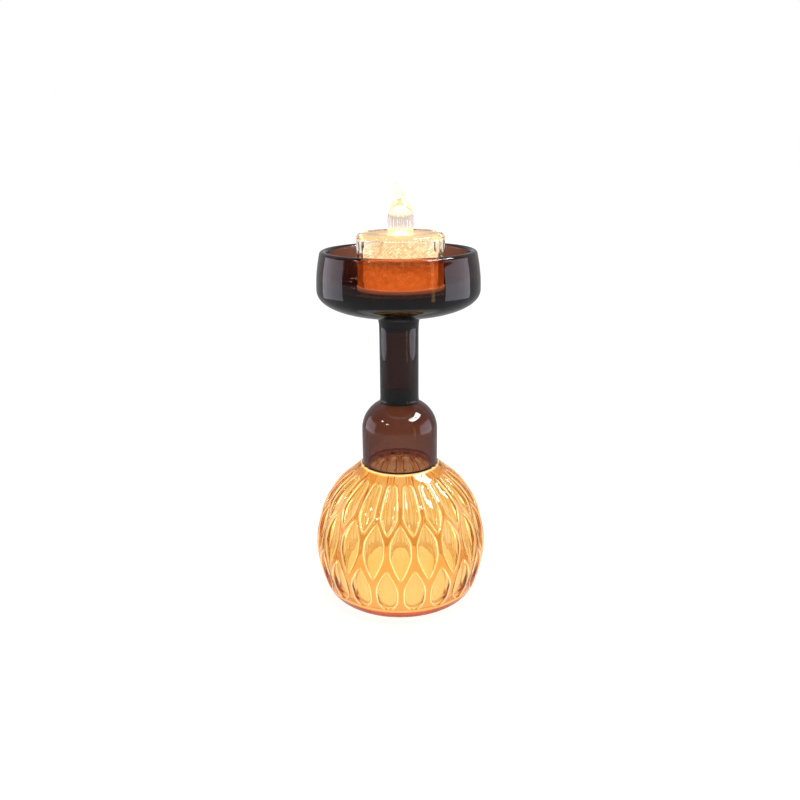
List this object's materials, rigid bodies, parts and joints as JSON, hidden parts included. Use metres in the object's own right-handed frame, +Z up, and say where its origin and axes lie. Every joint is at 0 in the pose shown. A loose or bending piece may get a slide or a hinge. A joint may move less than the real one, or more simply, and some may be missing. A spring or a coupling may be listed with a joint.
{
  "type": "tealight holder",
  "caption": "Glass tealight holder with a round dish on a stem and dome over a leaf-cut globe foot, holding a battery tealight.",
  "frame": {"origin": "middle of the globe's foot, on the table", "axes": "+Z up along the stem, front towards -Y"},
  "size_m": [0.0786, 0.0786, 0.1874],
  "materials": {
    "amber_glass": "pressed amber soda-lime glass, fire polished",
    "brown_glass": "blown smoky brown glass, gloss",
    "clear_adhesive": "clear UV-cured adhesive",
    "clear_plastic": "clear polystyrene, gloss",
    "flame_plastic": "clear polystyrene flame, lit warm white from below",
    "lamp_epoxy": "clear epoxy of a warm white LED",
    "white_plastic": "moulded white ABS",
    "black_plastic": "moulded black plastic",
    "wire_insulation": "PVC wire insulation",
    "tinned_steel": "tinned steel lead",
    "plated_steel": "nickel plated steel",
    "cell_steel": "coin cell stainless steel",
    "brass_contact": "stamped brass contact"
  },
  "bodies": {
    "holder": {"globe": "amber_glass", "dome": "brown_glass", "stem": "brown_glass", "dish": "brown_glass", "dome_bond": "clear_adhesive", "stem_bond": "clear_adhesive", "dish_bond": "clear_adhesive"},
    "tealight": {"candle_shell": "clear_plastic", "sparkle_liner": "clear_plastic", "flame_lens": "flame_plastic", "led_lamp": "lamp_epoxy", "led_leads": "tinned_steel", "base_cup": "white_plastic", "switch_case": "plated_steel", "switch_terminals": "brass_contact", "lead_wires": "wire_insulation", "side_contact": "brass_contact", "spring_contact": "plated_steel", "cell_can": "cell_steel", "cell_gasket": "black_plastic", "cell_cap": "cell_steel", "base_screws": "plated_steel"},
    "switch": {"switch_knob": "black_plastic"},
    "door": {"battery_door": "white_plastic"}
  },
  "joints": [
    {"name": "tealight_lift", "type": "slide", "parent": "holder", "child": "tealight", "axis": [0, 0, 1], "range_m": [0, 0.06]},
    {"name": "switch_slide", "type": "slide", "parent": "tealight", "child": "switch", "axis": [-1, 0, 0], "range_m": [0, 0.002]},
    {"name": "battery_door_turn", "type": "hinge", "parent": "tealight", "child": "door", "pos_m": [0.001, 0.0028, 0.14085], "axis": [0, 0, -1], "range_deg": [0, 30]}
  ]
}
